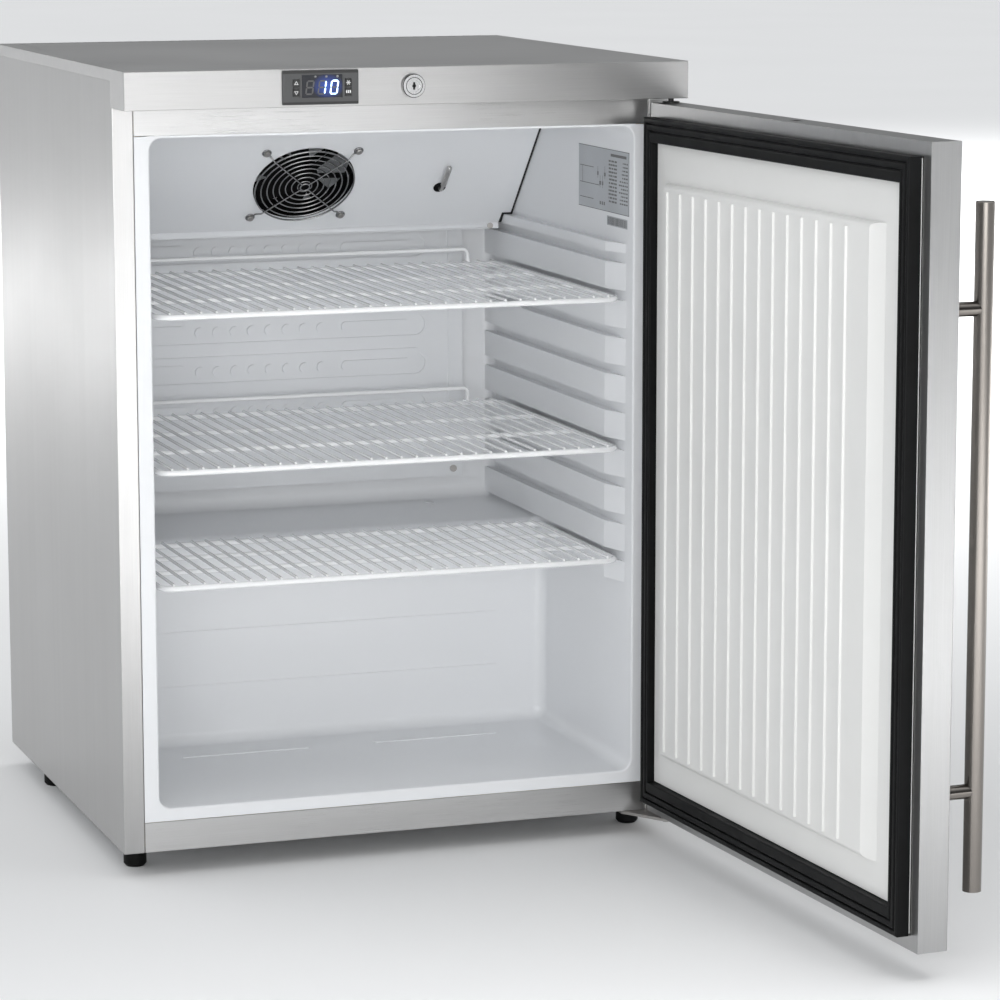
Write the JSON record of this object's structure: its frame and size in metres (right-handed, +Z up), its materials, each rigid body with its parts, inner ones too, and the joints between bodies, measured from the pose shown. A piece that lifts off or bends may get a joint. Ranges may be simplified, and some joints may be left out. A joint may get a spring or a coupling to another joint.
{
  "type": "undercounter refrigerator",
  "caption": "Free-standing stainless undercounter refrigerator with an open hinged door, wire shelves, fan-cooled white interior and a bar handle.",
  "frame": {"origin": "on the floor under the middle of the worktop's front edge", "axes": "+X to the right as seen from the front, +Y to the back, +Z up"},
  "size_m": [0.6886, 1.1649, 0.83],
  "materials": {
    "stainless": "brushed stainless sheet",
    "galvanised": "galvanised sheet",
    "white_liner": "glossy thermoformed plastic",
    "insulation_foam": "rigid foam",
    "white_metal": "white coated sheet",
    "fan_black": "moulded black plastic",
    "chrome_wire": "plated wire and screws",
    "shelf_coating": "white coated wire",
    "gasket_black": "soft black seal",
    "handle_steel": "brushed round bar",
    "controller_grey": "textured grey plastic",
    "window_dark": "dark display window",
    "key_black": "soft key caps",
    "label_silver": "printed foil",
    "black_plastic": "black plastic",
    "compressor_black": "black enamel",
    "copper": "copper tube",
    "probe_metal": "probe sleeve"
  },
  "bodies": {
    "cabinet": {"worktop": "stainless", "side_panel_left": "stainless", "side_panel_right": "stainless", "top_front_rail": "stainless", "kick_rail": "stainless", "base_plate": "galvanised", "back_panel": "galvanised", "liner": "white_liner", "insulation": "insulation_foam", "evaporator_cover": "white_metal", "fan_housing": "fan_black", "fan_guard": "chrome_wire", "guard_screws": "chrome_wire", "panel_screws": "chrome_wire", "evaporator_plate": "white_metal", "temperature_probe": "probe_metal", "probe_grommet": "black_plastic", "rating_label": "label_silver", "controller_bezel": "controller_grey", "controller_body": "black_plastic", "display_window": "window_dark", "lock_housing": "chrome_wire", "lock_nut": "chrome_wire", "upper_hinge_bracket": "galvanised", "lower_hinge_bracket": "galvanised", "hinge_pins": "chrome_wire", "hinge_screws": "chrome_wire", "compressor": "compressor_black", "compressor_grommets": "gasket_black", "terminal_box": "black_plastic", "condenser": "compressor_black", "filter_drier": "copper", "refrigerant_lines": "copper", "drip_tray": "black_plastic", "drain_tube": "white_liner", "power_inlet": "black_plastic", "levelling_inserts": "galvanised"},
    "door": {"door_skin": "stainless", "door_foam": "insulation_foam", "door_liner": "white_liner", "door_gasket": "gasket_black", "handle_bar": "handle_steel", "handle_standoffs": "handle_steel", "handle_screws": "chrome_wire", "hinge_bushes": "black_plastic"},
    "fan": {"fan_rotor": "fan_black"},
    "lock": {"lock_plug": "chrome_wire", "lock_cam": "galvanised"},
    "upper_shelf": {"shelf_upper": "shelf_coating"},
    "middle_shelf": {"shelf_middle": "shelf_coating"},
    "lower_shelf": {"shelf_lower": "shelf_coating"},
    "up_key": {"key_up": "key_black"},
    "down_key": {"key_down": "key_black"},
    "light_key": {"key_light": "key_black"},
    "set_key": {"key_set": "key_black"},
    "front_left_foot": {"foot_front_left": "black_plastic"},
    "front_right_foot": {"foot_front_right": "black_plastic"},
    "rear_left_foot": {"foot_rear_left": "black_plastic"},
    "rear_right_foot": {"foot_rear_right": "black_plastic"}
  },
  "joints": [
    {"name": "door_hinge", "type": "hinge", "parent": "cabinet", "child": "door", "pos_m": [0.288, 0.0211, 0.4], "axis": [0, 0, 1], "range_deg": [-93.5, 26.5]},
    {"name": "fan_spin", "type": "hinge", "parent": "cabinet", "child": "fan", "pos_m": [0, 0.3935, 0.6804], "axis": [0, 0.729, 0.6845], "continuous": true},
    {"name": "lock_turn", "type": "hinge", "parent": "cabinet", "child": "lock", "pos_m": [0, 0.01, 0.8105], "axis": [0, 1, 0], "range_deg": [0, 90]},
    {"name": "upper_shelf_slide", "type": "slide", "parent": "cabinet", "child": "upper_shelf", "axis": [0, -1, 0], "range_m": [0, 0.25]},
    {"name": "middle_shelf_slide", "type": "slide", "parent": "cabinet", "child": "middle_shelf", "axis": [0, -1, 0], "range_m": [0, 0.25]},
    {"name": "lower_shelf_slide", "type": "slide", "parent": "cabinet", "child": "lower_shelf", "axis": [0, -1, 0], "range_m": [0, 0.15]},
    {"name": "up_key_press", "type": "slide", "parent": "cabinet", "child": "up_key", "axis": [0, 1, 0], "range_m": [0, 0.0006], "stiffness_N_per_m": 600},
    {"name": "down_key_press", "type": "slide", "parent": "cabinet", "child": "down_key", "axis": [0, 1, 0], "range_m": [0, 0.0006], "stiffness_N_per_m": 600},
    {"name": "light_key_press", "type": "slide", "parent": "cabinet", "child": "light_key", "axis": [0, 1, 0], "range_m": [0, 0.0006], "stiffness_N_per_m": 600},
    {"name": "set_key_press", "type": "slide", "parent": "cabinet", "child": "set_key", "axis": [0, 1, 0], "range_m": [0, 0.0006], "stiffness_N_per_m": 600},
    {"name": "front_left_foot_screw", "type": "slide", "parent": "cabinet", "child": "front_left_foot", "axis": [0, 0, -1], "range_m": [0, 0.015]},
    {"name": "front_right_foot_screw", "type": "slide", "parent": "cabinet", "child": "front_right_foot", "axis": [0, 0, -1], "range_m": [0, 0.015]},
    {"name": "rear_left_foot_screw", "type": "slide", "parent": "cabinet", "child": "rear_left_foot", "axis": [0, 0, -1], "range_m": [0, 0.015]},
    {"name": "rear_right_foot_screw", "type": "slide", "parent": "cabinet", "child": "rear_right_foot", "axis": [0, 0, -1], "range_m": [0, 0.015]}
  ]
}
